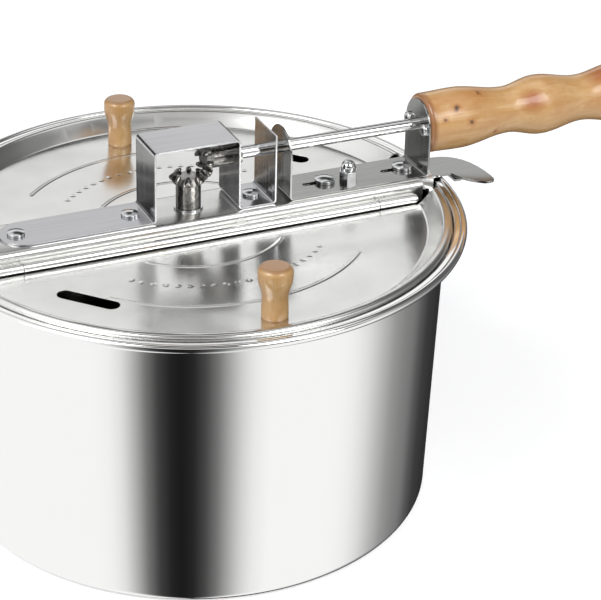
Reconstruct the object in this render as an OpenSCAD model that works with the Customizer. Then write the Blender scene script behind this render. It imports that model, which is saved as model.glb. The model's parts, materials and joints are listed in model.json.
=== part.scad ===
// Stovetop popcorn maker: a drawn steel pot and the lid frame that hooks on its rim.
// The frame carries two hinged half lids, a pair of bevel gears, a turned wooden handle
// with the crank rod running through it, a latch, and the stirrer that sweeps the floor.
//
// Row frame: origin at the centre of the pot's base, +X towards the handle, +Z up.
// Everything on the lid frame is drawn in the lid frame's own heights: z = 0 is the
// crown of the half lids' rims, and on_lid() lifts it to its place on the pot.

/* [Pot] */
// Height of the pot to the top of its rolled rim
pot_h = 142; // [120:1:170]
// Thickness of the pot's sheet
pot_t = 1; // [0.8:0.1:1.2]
// Outer radius of the pot over the rolled bead of its rim
bead_out_r = 131; // [125:0.5:140]
// Width of the rim outside the collar that the half lids sit in
rim_w = 6.5; // [6.2:0.1:6.5]
// Width of the ledge that the half lids rest on
ledge_w = 3.5; // [3.5:0.1:5]
// Amount by which the wall's radius narrows from the ledge to the base
wall_draft = 4.3; // [3:0.1:13]
// Outer radius of the corner between wall and base
pot_corner_r = 4; // [2:0.5:10]
// Depth of the ledge below the top of the rim
ledge_drop = 3.5; // [3.2:0.1:4.5]
// Depth of the flat flange below the top of the rim
flange_drop = 0.8; // [0.5:0.1:1]
// Radius of the rolled bead's own section
bead_r = 2; // [1.8:0.1:2.2]

/* [Half lids] */
// Thickness of the lids' sheet
lid_t = 0.8; // [0.6:0.1:1]
// Gap between the lids' rims and the pot's collar
lid_side_gap = 0.5; // [0.4:0.1:1]
// Gap between the lids' rims and the ledge under them
lid_seat_gap = 0.3; // [0.2:0.05:0.5]
// Height of the lids' crown above the top of the pot's rim
lid_rise = 1; // [0.9:0.1:2]
// Depth of the centre panel below the crown
lid_recess = 7; // [6.9:0.1:8]
// Width of the raised rim round the flat centre panel
lid_rim_w = 12; // [11.5:0.5:16]
// Distance of the lids' straight edge from the middle line
chord_y = 22; // [21.8:0.1:23]
// Length of a steam slot
vent_l = 31; // [20:1:40]
// Width of a steam slot
vent_w = 8; // [6:0.5:10]
// Distance of a steam slot's middle from the lid's edge
vent_inset = 34; // [32:1:44]
// Turn of a steam slot's place, from the lid's straight edge
vent_turn = 38; // [34:1:50]
// Turn of a steam slot itself, away from the tangent of the lid's circle
vent_skew = 5; // [0:1:10]

/* [Lid knobs] */
// Height of a lid knob
knob_h = 25; // [18:0.5:30]
// Largest radius of a lid knob
knob_top_r = 7.9; // [6:0.1:9]
// Radius of a lid knob's foot
knob_foot_r = 6.1; // [4.5:0.1:6.5]
// Distance of a lid knob from the lid's edge
knob_inset = 24; // [21:1:34]
// Radius of the screw that holds a lid knob
knob_screw_r = 1.8; // [1.5:0.1:2.2]

/* [Hinges] */
// Distance of each hinge from the middle line
hinge_y = 19; // [18.9:0.1:19.2]
// Radius of a hinge pin
pin_r = 1.5; // [1.2:0.1:1.6]
// Outer radius of a hinge knuckle
knuckle_r = 2.5; // [2.4:0.1:2.5]
// Distance from the end of a lid's knuckle to the edge of the centre panel
lid_knuckle_inset = 22.2; // [17:0.2:42]
// Gap between a lid's knuckle and the crossbar's knuckles
knuckle_gap = 0.4; // [0.2:0.1:1]
// Distance from the outer end of the crossbar's knuckles to the lids' edge
knuckle_end_inset = 14.5; // [14:0.5:24]

/* [Crossbar] */
// Thickness of the crossbar's sheet
bar_t = 1; // [0.8:0.1:1.2]
// Height of the crossbar's top face above the crown of the lids
bar_top = 1.6; // [1.6:0.1:2]
// Half the outer width of the crossbar's channel
bar_half_w = 16.1; // [15.8:0.1:16.1]
// Depth of the crossbar's channel
bar_depth = 10; // [9.5:0.5:12]
// Radius of the crossbar's shoulders
bar_shoulder_r = 3; // [2:0.5:4]
// Distance from the ends of the channel to the pot's collar
bar_end_inset = 9; // [9:0.5:12]
// Gap between the crossbar's tabs and the pot's collar
tab_gap = 0.7; // [0.5:0.1:1]
// Gap between the hook and the pot's bead
hook_gap = 0.4; // [0.4:0.05:0.6]
// Width of the hook
hook_w = 18; // [12:1:20]

/* [Brackets] */
// Width of both brackets
bracket_w = 25; // [22:1:25]
// Thickness of both brackets
bracket_t = 1; // [0.8:0.1:1.2]
// Height of the gear bracket's top above the crown of the lids
gear_bracket_top = 38; // [36:0.5:44]
// Place of the gear bracket's far leg
far_leg_x = -22.5; // [-30:0.5:-18]
// Place of the gear bracket's near leg
near_leg_x = 20; // [18:0.5:22]
// Distance from the rounded end of the gear bracket's long foot to the pot's collar
long_foot_inset = 29.5; // [24:0.5:40]
// Place of the ear at the end of the gear bracket's short foot
gear_ear_x = 38.5; // [37:0.5:40]
// Place of the handle bracket's inner ear
handle_ear_x = 46.5; // [44:0.5:50]
// Height of the handle bracket's inner ear
handle_ear_top = 36; // [34:0.5:40]
// Distance from the flange that the handle is screwed to, to the pot's collar
flange_inset = 4.5; // [3.5:0.5:6]
// Height of the flange
flange_top = 38; // [37:0.5:42]
// Inner radius of the brackets' bends
bend_r = 1.2; // [0.8:0.1:2]

/* [Fasteners] */
// Radius of a rivet's head
rivet_head_r = 4.2; // [3:0.1:5]
// Radius of a rivet's shank
rivet_r = 2; // [1.5:0.1:2.5]
// Height of a rivet's head
rivet_head_h = 2; // [1.4:0.1:2.6]
// Distance of the outer rivet from the rounded end of the long foot
end_rivet_inset = 8; // [6:0.5:12]
// Distance of the middle rivet from the gear bracket's far leg
far_rivet_gap = 8.5; // [7:0.5:12]
// Distance of the inner rivet from the gear bracket's near leg
near_rivet_gap = 11; // [7:0.5:12]
// Place of the acorn nut that holds the handle bracket
nut_x = 82.6; // [78:0.5:90]
// Width across the flats of the acorn nut
nut_af = 8; // [7:0.5:10]
// Height of the acorn nut
nut_h = 9.4; // [7:0.2:11]
// Radius of the acorn nut's stud
stud_r = 2; // [1.5:0.1:2.5]

/* [Latch] */
// Thickness of the latch lever
latch_t = 1.2; // [1:0.1:1.2]
// Half the width of the lever's slide under the crossbar
latch_half_w = 10; // [8:0.5:10.5]
// Travel of the latch from open to locked
latch_travel = 10; // [8:0.5:10]
// Place of the inner guide button along the crossbar
inner_button_x = 70; // [66:0.5:71]
// Distance from the outer guide button to the pot's collar
outer_button_inset = 12.5; // [12:0.5:15]
// Radius of a guide button's head
latch_button_r = 5; // [4:0.25:6]
// Radius of a guide button's shank
latch_shank_r = 1.5; // [1.2:0.1:2]
// Height of a guide button's head
latch_button_h = 2.8; // [2:0.1:3.2]
// Length of the lever's slide behind the inner guide button
latch_tail = 14; // [9:0.5:15]
// Reach of the thumb piece beyond the pot's rim
thumb_reach = 18; // [16:0.5:24]
// Distance of the thumb piece's tip from the middle line
thumb_side = 25; // [20:0.5:28]
// Half the width of the hook that goes under the bead
latch_hook_half_w = 6; // [4:0.5:8]

/* [Gears] */
// Height of the crank's axis above the crown of the lids
axis_z = 25.4; // [24:0.2:28]
// Place of the stirrer's axis along the crossbar
stirrer_x = -1.3; // [-3:0.1:1]
// Number of teeth on each gear
gear_teeth = 8; // [6:1:8]
// Distance of a tooth's outer end from the point where the axes cross
tooth_far = 12.6; // [11:0.1:13]
// Distance of a tooth's inner end from the point where the axes cross
tooth_near = 8; // [7:0.1:8.5]
// Angle between a gear's axis and its teeth
tooth_lean = 43; // [42:0.5:44]
// Half the angle that a tooth fills, seen from the point where the axes cross
tooth_half_angle = 7.4; // [6:0.1:7.5]
// Half the angle of the cone that the teeth stand on
gear_cone_angle = 38.5; // [36:0.5:38.5]
// Depth of the dish inside the ring of teeth
gear_dish = 1.2; // [0.6:0.1:1.4]
// Radius of the drive gear's hub
drive_hub_r = 5; // [4.5:0.1:6]
// Radius of the stirrer gear's hub
stirrer_hub_r = 6.1; // [5:0.1:6.5]
// Radius of the spring pins through the hubs
gear_pin_r = 1; // [0.8:0.1:1.2]

/* [Handle] */
// Length of the handle
handle_l = 155; // [120:1:180]
// Radius of the handle's bulges
handle_bulge_r = 15.2; // [13:0.1:17]
// Radius of the handle's waists
handle_waist_r = 11.6; // [10:0.1:13]
// Distance from one bulge to the next
handle_pitch = 46.5; // [40:0.5:50]
// Distance of the first bulge from the flange
handle_first_bulge = 19; // [15:0.5:24]
// Radius of the bore through the handle
handle_bore_r = 3.8; // [3.4:0.1:5]
// Radius of the rounding at the flange end of the handle
handle_edge_r = 2.2; // [1.5:0.1:3]
// Radius of the rounding at the free end of the handle
handle_tail_r = 7; // [4:0.5:9]
// Radius of the handle's screws
handle_screw_r = 1.6; // [1.4:0.1:1.8]
// Distance of the handle's screws from its axis, to either side
handle_screw_y = 8.5; // [8:0.1:9.5]
// Length of the handle's screws
handle_screw_l = 22; // [15:1:30]

/* [Crank] */
// Radius of the crank rod
rod_r = 3; // [2.5:0.1:3.2]
// Distance from the rod's axis to the crank knob's axis
crank_throw = 62; // [45:1:80]
// Radius of the rod's bends
crank_bend_r = 8; // [6:0.5:12]
// Length of the crank knob
crank_knob_l = 32; // [24:1:40]
// Largest radius of the crank knob
crank_knob_r = 10; // [8:0.5:13]

/* [Stirrer] */
// Radius of the stirrer's vertical shaft
shaft_r = 3; // [2.5:0.1:3.2]
// Gap between the arms and the pot's wall, which leaves room to tilt them out
sweep_gap = 40.7; // [39.7:0.5:56]
// Radius of the wire of the arms
wire_r = 2; // [1.5:0.1:2.5]
// Gap between the arms and the pot's floor
floor_gap = 0.5; // [0.4:0.1:2]
// Height of the arms' turned-up ends
arm_tip_h = 16; // [10:1:24]
// Radius of the bend below the turned-up ends
arm_bend_r = 6; // [4:0.5:8]
// Height of the hub that the arms are welded to
arm_hub_h = 14; // [10:1:18]
// Thickness of that hub round the shaft
arm_hub_t = 4; // [3:0.5:6]
// Thickness of the bush round the shaft
bush_t = 2; // [1.5:0.1:3]
// Depth of the bush below the crossbar
bush_depth = 8; // [6:0.5:9]

/* [Fits] */
// Radial clearance of what turns
run_fit = 0.06; // [0.02:0.01:0.1]
// Radial clearance of what is fixed
fixed_fit = 0.04; // [0.02:0.01:0.08]
// Gap between flat faces that slide
slide_gap = 0.1; // [0.05:0.05:0.3]

/* [Hidden] */

$fn = 64;

// The pot and its rim
collar_r = bead_out_r - rim_w;
pot_top_r = collar_r - ledge_w;
pot_base_r = pot_top_r - wall_draft;
bead_x = bead_out_r - bead_r;
bead_z = -lid_rise - bead_r;
ledge_z = -lid_rise - ledge_drop;
lid_z = pot_h + lid_rise;
fold_r = 0.8;

// The half lids and their hinges
lid_r = collar_r - lid_side_gap;
panel_r = lid_r - lid_rim_w;
vent_from_centre = lid_r - vent_inset;
knob_from_centre = lid_r - knob_inset;
lid_knuckle_half = panel_r - lid_knuckle_inset;
knuckle_end = lid_r - knuckle_end_inset;
hinge_z = -lid_recess - lid_t + knuckle_r;
pin_head_t = 1;
pin_head_r = pin_r + 0.7;

// The crossbar and its brackets
bar_end = collar_r - bar_end_inset;
bar_under = bar_top - bar_t;
tab_r = collar_r - tab_gap;
tab_half_w = bracket_w / 2;
foot_z = bar_top + bracket_t;
long_foot_x = long_foot_inset - collar_r;
flange_x = collar_r - flange_inset;
flange_out_x = flange_x + bracket_t / 2;
rivet_x = [long_foot_x + end_rivet_inset, far_leg_x - far_rivet_gap, near_leg_x + near_rivet_gap];
stud_head_h = 2;

// The latch, drawn where it is open: the hook's tip stands clear outside the bead
latch_top = bar_under - slide_gap;
latch_bottom = latch_top - latch_t;
latch_button_x = [inner_button_x, collar_r - outer_button_inset];
latch_collar_t = 0.8;
latch_collar_r = latch_shank_r + latch_collar_t;
thumb_root_x = tab_r + latch_travel + hook_gap;
hook_tip_x = bead_x - hook_gap + latch_travel;
hook_web_x = bead_out_r + hook_gap + latch_travel;
hook_lip_top = bead_z - bead_r - 1.5 * hook_gap;

// The gears: both cones start a little inside the teeth, away from the shared point
gear_front = tooth_near * cos(gear_cone_angle) + gear_dish;
gear_back = tooth_far * cos(tooth_lean) + 0.6;
gear_back_r = gear_back * tan(gear_cone_angle);
gear_front_r = gear_front * tan(gear_cone_angle) - 0.4;
gear_blind = ceil(gear_front + 2);
half_tooth = 180 / gear_teeth;
drive_hub_end = near_leg_x - stirrer_x + 4.6;
stirrer_hub_end = axis_z - foot_z - slide_gap;
drive_pin_at = (gear_back + near_leg_x - stirrer_x) / 2 + 0.4;
stirrer_pin_at = (gear_back + stirrer_hub_end) / 2 + 1;

// The handle and the crank
handle_end_x = flange_out_x + handle_l;
washer_t = 1;
washer_r = rod_r + 3.5;
arm_gap = 3;
arm_x = handle_end_x + washer_t + arm_gap + crank_bend_r;
knob_x = arm_x + crank_bend_r + arm_gap / 2;
spindle_end = knob_x + crank_knob_l + arm_gap / 2;
rod_start = stirrer_x + gear_blind + slide_gap;
cap_r = rod_r + 2;
cap_h = 3;

// The stirrer
bush_r = shaft_r + bush_t;
bush_flange_r = bush_r + 3;
bush_flange_t = 2;
clip_r = shaft_r + 2.5;
clip_t = 1;
shaft_top = lid_z + axis_z - gear_blind - slide_gap;
arm_z = pot_t + floor_gap + wire_r;
sweep_r = pot_base_r - sweep_gap;
hub_foot = arm_z - 0.75 * wire_r;
hub_floor_t = 1;
arm_hub_r = shaft_r + arm_hub_t;
arm_pin_z = hub_foot + 0.7 * arm_hub_h;

// Enough for a cut to run past both faces of any sheet here
past = 5;

// ---- Outlines ----

function unit(v) = v / norm(v);
function left_of(a, b) = let (d = unit(b - a)) [-d[1], d[0]];
function backwards(list) = [for (i = [len(list) - 1:-1:0]) list[i]];

// Points of an arc about c from angle a0 to a1, in n steps
function arc(c, r, a0, a1, n) = [
    for (i = [0:n])
        let (a = a0 + (a1 - a0) * i / n)
            c + r * [cos(a), sin(a)]
];

// One face of a bent sheet: its middle line moved sideways by d, with mitred corners
function face(path, d) = [
    for (i = [0:len(path) - 1])
        let (
            last = len(path) - 1,
            before = left_of(path[max(i - 1, 0)], path[max(i, 1)]),
            after = left_of(path[min(i, last - 1)], path[min(i + 1, last)]),
            mid = unit(before + after)
        )
            path[i] + mid * d / (mid * before)
];

// Outline of a sheet of thickness t bent along a middle line
function sheet(path, t) = concat(face(path, t / 2), backwards(face(path, -t / 2)));

// Points of a curve from p0 to p2 that leans towards p1
function curve(p0, p1, p2, n) = [
    for (i = [0:n])
        let (t = i / n)
            (1 - t) * (1 - t) * p0 + 2 * t * (1 - t) * p1 + t * t * p2
];

// A soft step from a to b as t goes from 0 to 1
function ease(a, b, t) = a + (b - a) * (1 - cos(180 * t)) / 2;

// A profile through [along, radius] points that is level at every one of them
function turned(points, n) = [
    for (i = [0:len(points) - 2], k = [0:n - 1])
        let (a = points[i], b = points[i + 1])
            [a[0] + (b[0] - a[0]) * k / n, ease(a[1], b[1], k / n)]
];

// ---- Helpers ----

module on_lid() { translate([0, 0, lid_z]) children(); }

// A cylinder along X from x0 to x1
module bar_x(x0, x1, r) { translate([x0, 0, 0]) rotate([0, 90, 0]) cylinder(h = x1 - x0, r = r); }

// A plate cut from a side view in X and Z, width w across the middle line
module across(outline, w) {
    translate([0, w / 2, 0]) rotate([90, 0, 0]) linear_extrude(w) polygon(outline);
}

// An upright hole through the crossbar and the foot on it
module drill(x, r) { translate([x, 0, -past]) cylinder(h = foot_z + 2 * past, r = r); }

// A slot through z0..z1 with round ends, from x0 to x1
module slot(x0, x1, r, z0, z1) {
    translate([0, 0, z0]) {
        for (x = [x0, x1])
            translate([x, 0, 0]) cylinder(h = z1 - z0, r = r);
        translate([x0, -r, 0]) cube([x1 - x0, 2 * r, z1 - z0]);
    }
}

// ---- Pot ----

module pot() {
    t = pot_t;
    corner = pot_corner_r - t / 2;
    round_r = 2 * t;
    wall_x = pot_top_r - t / 2;
    shelf = pot_h - ledge_drop - t / 2;
    flange = pot_h - flange_drop - t / 2;
    bead_c = bead_r - t / 2;
    bead_mid = pot_h - bead_r;
    join = 180 - asin((flange - bead_mid) / bead_c);
    path = concat(
        [[0, t / 2]],
        arc([pot_base_r - pot_corner_r, pot_corner_r], corner, -90, 0, 6),
        arc([wall_x + round_r, shelf - round_r], round_r, 180, 90, 6),
        arc([collar_r + t / 2 - fold_r, shelf + fold_r], fold_r, -90, 0, 4),
        arc([collar_r + t / 2 + fold_r, flange - fold_r], fold_r, 180, 90, 4),
        arc([bead_x, bead_mid], bead_c, join, -140, 16)
    );
    color("silver") rotate_extrude($fn = 180) polygon(sheet(path, t));
}

// ---- Lid frame: crossbar, hinge pins and brackets ----

module crossbar() {
    t = bar_t;
    mid_y = bar_half_w - t / 2;
    top = bar_top - t / 2;
    sh = bar_shoulder_r - t / 2;
    section = concat(
        [[-mid_y, bar_top - bar_depth]],
        arc([-mid_y + sh, top - sh], sh, 180, 90, 6),
        arc([mid_y - sh, top - sh], sh, 90, 0, 6),
        [[mid_y, bar_top - bar_depth]]
    );
    leg = tab_half_w - t / 2;
    tab = concat(
        [[-leg, ledge_z]],
        arc([-leg + t, top - t], t, 180, 90, 3),
        arc([leg - t, top - t], t, 90, 0, 3),
        [[leg, ledge_z]]
    );
    tab_root = bar_end - bar_shoulder_r * 2;
    hook_c = bead_r + hook_gap + t / 2;
    hook = concat(
        [[-bar_end, top], [2 * t - tab_r, top]],
        [[2 * (bead_r + hook_gap) - bead_x, bead_z + hook_c]],
        arc([-bead_x, bead_z], hook_c, 90, 265, 14)
    );
    color("gainsboro") on_lid() difference() {
        union() {
            translate([-bar_end, 0, 0]) rotate([90, 0, 90])
                linear_extrude(2 * bar_end) polygon(sheet(section, t));
            intersection() {
                for (end = [0, 180])
                    rotate([0, 0, end]) translate([tab_root, 0, 0]) rotate([90, 0, 90])
                        linear_extrude(tab_r - tab_root + past) polygon(sheet(tab, t));
                translate([0, 0, ledge_z - past])
                    cylinder(h = bar_top - ledge_z + 2 * past, r = tab_r, $fn = 180);
            }
            across(sheet(hook, t), hook_w);
            for (end = [0, 180], side = [-1, 1])
                rotate([0, 0, end]) end_knuckle(side);
        }
        for (x = rivet_x)
            drill(x, rivet_r + fixed_fit);
        drill(nut_x, stud_r + fixed_fit);
        drill(stirrer_x, bush_r + fixed_fit);
        latch_slots();
        for (side = [-1, 1])
            translate([0, side * hinge_y, hinge_z])
                bar_x(-bar_end, bar_end, pin_r + fixed_fit);
    }
}

// One of the crossbar's end knuckles, with the web that carries it
module end_knuckle(side) {
    x0 = lid_knuckle_half + knuckle_gap;
    l = knuckle_end - x0;
    translate([0, side * hinge_y, hinge_z]) bar_x(x0, knuckle_end, knuckle_r);
    translate([x0, side < 0 ? -hinge_y : bar_half_w - bar_t, hinge_z - knuckle_r])
        cube([l, hinge_y - bar_half_w + bar_t, bar_t]);
}

// The slots that the latch's buttons slide in
module latch_slots() {
    for (x = latch_button_x)
        slot(x - latch_travel, x, latch_shank_r + slide_gap, -past, past);
}

module hinge_pin(side) {
    end = knuckle_end + slide_gap;
    color("silver") on_lid() translate([0, side * hinge_y, hinge_z]) {
        bar_x(-end, end, pin_r);
        for (x = [-end - pin_head_t, end])
            bar_x(x, x + pin_head_t, pin_head_r);
    }
}

// Side view of the gear bracket, from its long foot to its ear
function gear_bracket_path() =
    let (
        t = bracket_t,
        r = bend_r + t / 2,
        low = bar_top + t / 2,
        high = gear_bracket_top - t / 2,
        ear_top = gear_bracket_top - t
    )
        concat(
            [[long_foot_x, low]],
            arc([far_leg_x - r, low + r], r, -90, 0, 4),
            arc([far_leg_x + r, high - r], r, 180, 90, 4),
            arc([near_leg_x - r, high - r], r, 90, 0, 4),
            arc([near_leg_x + r, low + r], r, 180, 270, 4),
            arc([gear_ear_x - r, low + r], r, -90, 0, 4),
            [[gear_ear_x, ear_top]]
        );

module gear_bracket() {
    color("lightgray") on_lid() difference() {
        intersection() {
            across(sheet(gear_bracket_path(), bracket_t), bracket_w);
            union() {
                translate([long_foot_x + bracket_w / 2, 0, 0])
                    cylinder(h = gear_bracket_top + past, r = bracket_w / 2);
                translate([long_foot_x + bracket_w / 2, -bracket_w / 2, 0])
                    cube([gear_ear_x - long_foot_x, bracket_w, gear_bracket_top + past]);
            }
        }
        for (x = rivet_x)
            drill(x, rivet_r + fixed_fit);
        translate([0, 0, axis_z]) {
            bar_x(near_leg_x - past, near_leg_x + past, drive_hub_r + run_fit);
            bar_x(gear_ear_x - past, gear_ear_x + past, rod_r + run_fit);
        }
    }
}

// Side view of the handle bracket, from its inner ear to its flange
function handle_bracket_path() =
    let (t = bracket_t, r = bend_r + t / 2, low = bar_top + t / 2)
        concat(
            [[handle_ear_x, handle_ear_top]],
            arc([handle_ear_x + r, low + r], r, 180, 270, 4),
            arc([flange_x - r, low + r], r, -90, 0, 4),
            [[flange_x, flange_top]]
        );

// An upright with a round top, as wide as the brackets
module round_topped(x0, x1, top) {
    r = bracket_w / 2;
    translate([x0, -r, 0]) cube([x1 - x0, bracket_w, top - r]);
    translate([0, 0, top - r]) bar_x(x0, x1, r);
}

module handle_bracket() {
    middle = (handle_ear_x + flange_x) / 2;
    color("lightgray") on_lid() difference() {
        intersection() {
            across(sheet(handle_bracket_path(), bracket_t), bracket_w);
            union() {
                round_topped(handle_ear_x - past, middle, handle_ear_top);
                round_topped(middle, flange_x + past, flange_top);
            }
        }
        drill(nut_x, stud_r + fixed_fit);
        latch_slots();
        translate([0, 0, axis_z]) {
            bar_x(handle_ear_x - past, flange_x + past, rod_r + run_fit);
            for (side = [-1, 1])
                translate([0, side * handle_screw_y, 0])
                    bar_x(flange_x - past, flange_x + past, handle_screw_r + fixed_fit);
        }
    }
}

// ---- Rivets, nut and screws ----

// A shallow dome of radius r and height h, on the plane z = 0
module dome(r, h) {
    ball = (r * r + h * h) / (2 * h);
    rotate_extrude()
        polygon(concat([[0, 0]], arc([0, h - ball], ball, asin((ball - h) / ball), 90, 6)));
}

// A pressed head: a low drum with a shallow dome on it
module drum_head(r, h) {
    side = 0.6 * h;
    cap = h - side;
    ball = (r * r + cap * cap) / (2 * cap);
    rotate_extrude()
        polygon(concat([[0, 0], [r, 0]], arc([0, h - ball], ball, asin((ball - cap) / ball), 90, 6)));
}

module bracket_rivets() {
    color("gainsboro") on_lid() for (x = rivet_x)
        translate([x, 0, 0]) {
            translate([0, 0, foot_z]) drum_head(rivet_head_r, rivet_head_h);
            translate([0, 0, bar_under]) cylinder(h = foot_z - bar_under, r = rivet_r);
            translate([0, 0, bar_under]) mirror([0, 0, 1]) dome(rivet_head_r * 0.8, rivet_r * 0.6);
        }
}

module acorn_nut() {
    hex_h = 0.42 * nut_h;
    corner_r = nut_af / 2 / cos(30);
    ball = 0.46 * nut_af;
    color("silver") on_lid() translate([nut_x, 0, foot_z]) difference() {
        union() {
            cylinder(h = hex_h, r = corner_r, $fn = 6);
            cylinder(h = nut_h - ball, r = ball);
            translate([0, 0, nut_h - ball]) sphere(r = ball);
        }
        translate([0, 0, -past]) cylinder(h = nut_h - ball + past, r = stud_r + fixed_fit);
    }
}

module nut_stud() {
    top = foot_z + 0.5 * nut_h;
    color("silver") on_lid() translate([nut_x, 0, 0]) {
        translate([0, 0, bar_under - stud_head_h]) cylinder(h = stud_head_h, r = 2 * stud_r);
        translate([0, 0, bar_under]) cylinder(h = top - bar_under, r = stud_r);
    }
}

// A pan-head screw along +X with its head's seat at x = 0
module pan_screw(l, r) {
    head_r = 1.9 * r;
    head = 1.3 * r;
    edge = head / 2;
    cross_w = 0.36 * r;
    cross_depth = 0.55 * head;
    rim = arc([head_r - edge, edge], edge, 0, 90, 4);
    difference() {
        union() {
            bar_x(0, l, r);
            rotate([0, -90, 0]) rotate_extrude() polygon(concat([[0, 0], [head_r, 0]], rim, [[0, head]]));
        }
        for (turn = [0, 90])
            rotate([turn, 0, 0]) translate([-head - past, -cross_w / 2, -r])
                cube([cross_depth + past, cross_w, 2 * r]);
    }
}

module handle_screws() {
    color("silver") on_lid() for (side = [-1, 1])
        translate([flange_x - bracket_t / 2, side * handle_screw_y, axis_z])
            pan_screw(handle_screw_l, handle_screw_r);
}

// ---- Latch ----

// Outline of the lever seen from above: a slide that fits between the crossbar's tabs,
// and a thumb piece that sweeps to the side once it is clear of them
function latch_outline() =
    let (
        w = latch_half_w,
        tail = inner_button_x - latch_tail,
        corner = 0.3 * w,
        tip = [bead_out_r + thumb_reach, -thumb_side],
        tip_r = 3.4,
        nose = tip + [-0.4, 0.85] * tip_r,
        top_end = nose + tip_r * [cos(10), sin(10)],
        low_end = nose + tip_r * [cos(-110), sin(-110)]
    )
        concat(
            [[tail, corner - w], [tail, w - corner], [tail + corner, w]],
            [[thumb_root_x - 1.5 * tip_r, w]],
            curve([thumb_root_x, w], [tip[0] + 2, 0.9 * w], top_end + [0.2, 2], 8),
            arc(nose, tip_r, 10, -110, 5),
            curve(low_end + [-1.5, 0.4], [thumb_root_x + 1.5, -0.75 * thumb_side], [thumb_root_x, -w], 7),
            [[tail + corner, -w]]
        );

module latch_lever() {
    nut_room = 2 * stud_r + 3 * slide_gap;
    hook_w_latch = 2 * latch_hook_half_w;
    color("gainsboro") on_lid() {
        difference() {
            translate([0, 0, latch_bottom]) linear_extrude(latch_t) polygon(latch_outline());
            slot(nut_x, nut_x + latch_travel, nut_room, -past, past);
            for (x = latch_button_x)
                drill(x, latch_shank_r + fixed_fit);
        }
        translate([hook_web_x, -latch_hook_half_w, hook_lip_top - latch_t])
            cube([latch_t, hook_w_latch, latch_top - hook_lip_top + latch_t]);
        translate([hook_tip_x, -latch_hook_half_w, hook_lip_top - latch_t])
            cube([hook_web_x - hook_tip_x + latch_t, hook_w_latch, latch_t]);
    }
}

module latch_buttons() {
    head_z = foot_z + slide_gap;
    color("silver") on_lid() for (x = latch_button_x)
        translate([x, 0, 0]) {
            translate([0, 0, head_z]) drum_head(latch_button_r, latch_button_h);
            translate([0, 0, latch_bottom]) cylinder(h = head_z - latch_bottom, r = latch_shank_r);
            translate([0, 0, latch_bottom - latch_collar_t])
                cylinder(h = latch_collar_t, r = latch_collar_r);
        }
}

// ---- Half lids ----

// Middle line of a lid's sheet, from its centre to the rolled edge
function lid_path() =
    let (
        t = lid_t,
        low = -lid_recess - t / 2,
        bend = 2.5,
        crown = 2.5 * t,
        roll = 2 * t,
        lip = 1.3,
        lip_z = ledge_z + lid_seat_gap + t / 2 + lip,
        rise = -t / 2 - crown * (1 - cos(45)) - (low + bend * (1 - cos(45))),
        crown_x = panel_r + (bend + crown) * sin(45) + rise,
        edge = lid_r - t / 2
    )
        concat(
            [[0, low]],
            arc([panel_r, low + bend], bend, -90, -45, 4),
            arc([crown_x, -t / 2 - crown], crown, 135, 90, 4),
            arc([edge - roll, -t / 2 - roll], roll, 90, 0, 5),
            arc([edge - lip, lip_z], lip, 0, -190, 10)
        );

// The half lid on the -Y side
module half_lid() {
    half = lid_knuckle_half;
    vent_half = (vent_l - vent_w) / 2;
    difference() {
        union() {
            difference() {
                rotate_extrude($fn = 180) polygon(sheet(lid_path(), lid_t));
                translate([-lid_r - past, -chord_y, -lid_recess - past])
                    cube([2 * (lid_r + past), 2 * lid_r, lid_recess + 2 * past]);
            }
            translate([0, -hinge_y, hinge_z]) bar_x(-half, half, knuckle_r);
            translate([-half, -chord_y - lid_t, -lid_recess - lid_t])
                cube([2 * half, chord_y - hinge_y + 2 * lid_t, lid_t]);
        }
        translate([0, -hinge_y, hinge_z]) bar_x(-half - past, half + past, pin_r + run_fit);
        translate([0, -knob_from_centre, -lid_recess - past])
            cylinder(h = 2 * past, r = knob_screw_r + fixed_fit);
        rotate([0, 0, 180 + vent_turn]) translate([vent_from_centre, 0, -lid_recess])
            rotate([0, 0, 90 + vent_skew]) slot(-vent_half, vent_half, vent_w / 2, -past, past);
    }
}

module front_lid() { color("whitesmoke") on_lid() half_lid(); }
module back_lid() { color("whitesmoke") on_lid() rotate([0, 0, 180]) half_lid(); }

// Turned profile of a lid knob as [along, radius]: a straight stem and a wider head
function knob_profile() =
    let (h = knob_h, foot = knob_foot_r, top = knob_top_r)
        [[0.03 * h, foot], [0.4 * h, 0.97 * foot], [0.8 * h, top], [0.89 * h, top]];

// A turned wooden knob that stands on its lid
module lid_knob() {
    edge = 0.11 * knob_h;
    outline = concat(
        [[0, 0], [0.92 * knob_foot_r, 0]],
        [for (p = turned(knob_profile(), 5)) [p[1], p[0]]],
        arc([knob_top_r - edge, knob_h - edge], edge, 0, 90, 6),
        [[0, knob_h]]
    );
    translate([0, -knob_from_centre, -lid_recess]) difference() {
        rotate_extrude() polygon(outline);
        translate([0, 0, -past]) cylinder(h = 0.6 * knob_h + past, r = knob_screw_r + fixed_fit);
    }
}

module front_lid_knob() { color("burlywood") on_lid() lid_knob(); }
module back_lid_knob() { color("burlywood") on_lid() rotate([0, 0, 180]) lid_knob(); }

// The screw that comes up through a lid into its knob
module knob_screw() {
    translate([0, -knob_from_centre, -lid_recess - lid_t]) rotate([0, -90, 0])
        pan_screw(lid_t + 0.5 * knob_h, knob_screw_r);
}

module front_knob_screw() { color("silver") on_lid() knob_screw(); }
module back_knob_screw() { color("silver") on_lid() rotate([0, 0, 180]) knob_screw(); }

// ---- Gears ----

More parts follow.
